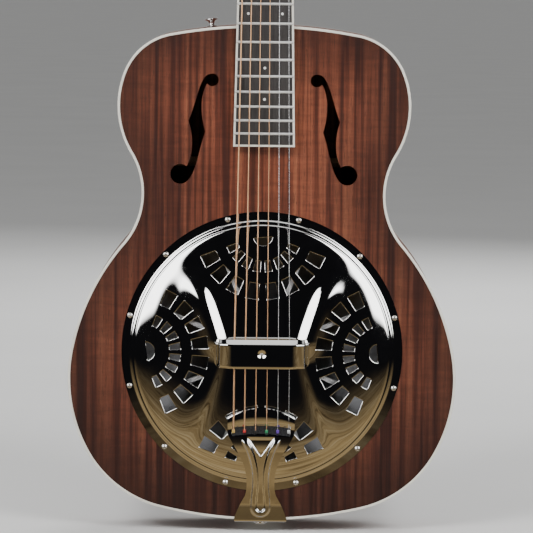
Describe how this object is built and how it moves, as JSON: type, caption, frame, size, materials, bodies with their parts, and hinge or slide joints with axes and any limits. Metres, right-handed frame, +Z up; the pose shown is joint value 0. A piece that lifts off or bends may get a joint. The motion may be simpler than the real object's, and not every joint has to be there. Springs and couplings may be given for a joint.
{
  "type": "resonator guitar",
  "caption": "Wooden acoustic guitar with a spun metal resonator cone under a pierced, chromed coverplate, a pressed tailpiece, a bound round neck and worm-geared tuners.",
  "frame": {"origin": "tail end of the body, on its centre line and halfway through its depth", "axes": "+Z up the neck, +X to the treble side, -Y out of the front, +Y out of the back"},
  "size_m": [0.3764, 0.115, 0.9829],
  "materials": {
    "mahogany": "sunburst stain under satin lacquer",
    "spruce": "bare",
    "ply": "bare",
    "cream": "polished",
    "rosewood": "oiled",
    "chrome": "mirror",
    "aluminium": "spun",
    "maple": "bare",
    "bone": "polished",
    "steel": "plated",
    "brass": "bare",
    "bronze": "wound wire"
  },
  "bodies": {
    "guitar": {"soundboard": "mahogany", "back": "mahogany", "side_bass": "mahogany", "side_treble": "mahogany", "binding_front": "cream", "binding_back": "cream", "lining_front": "spruce", "lining_back": "spruce", "neck_block": "spruce", "tail_block": "spruce", "back_brace_upper": "spruce", "back_brace_lower": "spruce", "soundwell": "ply", "cone": "aluminium", "spider": "aluminium", "saddle": "maple", "tension_screw": "steel", "coverplate": "chrome", "palm_rest": "chrome", "tailpiece": "chrome", "strap_button_tail": "chrome", "strap_button_shoulder": "chrome", "neck": "mahogany", "truss_rod": "steel", "fingerboard": "rosewood", "fingerboard_binding": "cream", "nut": "bone", "headplate": "rosewood", "tuner_plate_bass": "steel", "tuner_plate_treble": "steel", "string_e_low": "bronze", "string_a": "bronze", "string_d": "bronze", "string_g": "bronze", "string_b": "steel", "string_e_high": "steel"},
    "key_e_low": {"worm_shaft_e_low": "steel", "button_e_low": "cream"},
    "post_e_low": {"post_e_low": "steel", "gear_e_low": "brass"},
    "key_a": {"worm_shaft_a": "steel", "button_a": "cream"},
    "post_a": {"post_a": "steel", "gear_a": "brass"},
    "key_d": {"worm_shaft_d": "steel", "button_d": "cream"},
    "post_d": {"post_d": "steel", "gear_d": "brass"},
    "key_g": {"worm_shaft_g": "steel", "button_g": "cream"},
    "post_g": {"post_g": "steel", "gear_g": "brass"},
    "key_b": {"worm_shaft_b": "steel", "button_b": "cream"},
    "post_b": {"post_b": "steel", "gear_b": "brass"},
    "key_e_high": {"worm_shaft_e_high": "steel", "button_e_high": "cream"},
    "post_e_high": {"post_e_high": "steel", "gear_e_high": "brass"}
  },
  "joints": [
    {"name": "key_turn_e_low", "type": "hinge", "parent": "guitar", "child": "key_e_low", "pos_m": [-0.0205, -0.00817, 0.83683], "axis": [-1, 0, 0], "continuous": true},
    {"name": "post_turn_e_low", "type": "hinge", "parent": "guitar", "child": "post_e_low", "pos_m": [-0.0205, -0.02515, 0.85047], "axis": [0, -0.9636, 0.2672], "continuous": true},
    {"name": "key_turn_a", "type": "hinge", "parent": "guitar", "child": "key_a", "pos_m": [-0.0205, 0.00225, 0.87442], "axis": [-1, 0, 0], "continuous": true},
    {"name": "post_turn_a", "type": "hinge", "parent": "guitar", "child": "post_a", "pos_m": [-0.0205, -0.01472, 0.88805], "axis": [0, -0.9636, 0.2672], "continuous": true},
    {"name": "key_turn_d", "type": "hinge", "parent": "guitar", "child": "key_d", "pos_m": [-0.0205, 0.01267, 0.912], "axis": [-1, 0, 0], "continuous": true},
    {"name": "post_turn_d", "type": "hinge", "parent": "guitar", "child": "post_d", "pos_m": [-0.0205, -0.0043, 0.92563], "axis": [0, -0.9636, 0.2672], "continuous": true},
    {"name": "key_turn_g", "type": "hinge", "parent": "guitar", "child": "key_g", "pos_m": [0.0205, 0.01267, 0.912], "axis": [1, 0, 0], "continuous": true},
    {"name": "post_turn_g", "type": "hinge", "parent": "guitar", "child": "post_g", "pos_m": [0.0205, -0.0043, 0.92563], "axis": [0, -0.9636, 0.2672], "continuous": true},
    {"name": "key_turn_b", "type": "hinge", "parent": "guitar", "child": "key_b", "pos_m": [0.0205, 0.00225, 0.87442], "axis": [1, 0, 0], "continuous": true},
    {"name": "post_turn_b", "type": "hinge", "parent": "guitar", "child": "post_b", "pos_m": [0.0205, -0.01472, 0.88805], "axis": [0, -0.9636, 0.2672], "continuous": true},
    {"name": "key_turn_e_high", "type": "hinge", "parent": "guitar", "child": "key_e_high", "pos_m": [0.0205, -0.00817, 0.83683], "axis": [1, 0, 0], "continuous": true},
    {"name": "post_turn_e_high", "type": "hinge", "parent": "guitar", "child": "post_e_high", "pos_m": [0.0205, -0.02515, 0.85047], "axis": [0, -0.9636, 0.2672], "continuous": true}
  ],
  "couplings": [
    {"joint": "post_turn_e_low", "follows": "key_turn_e_low", "ratio": -0.066667},
    {"joint": "post_turn_a", "follows": "key_turn_a", "ratio": -0.066667},
    {"joint": "post_turn_d", "follows": "key_turn_d", "ratio": -0.066667},
    {"joint": "post_turn_g", "follows": "key_turn_g", "ratio": -0.066667},
    {"joint": "post_turn_b", "follows": "key_turn_b", "ratio": -0.066667},
    {"joint": "post_turn_e_high", "follows": "key_turn_e_high", "ratio": -0.066667}
  ]
}
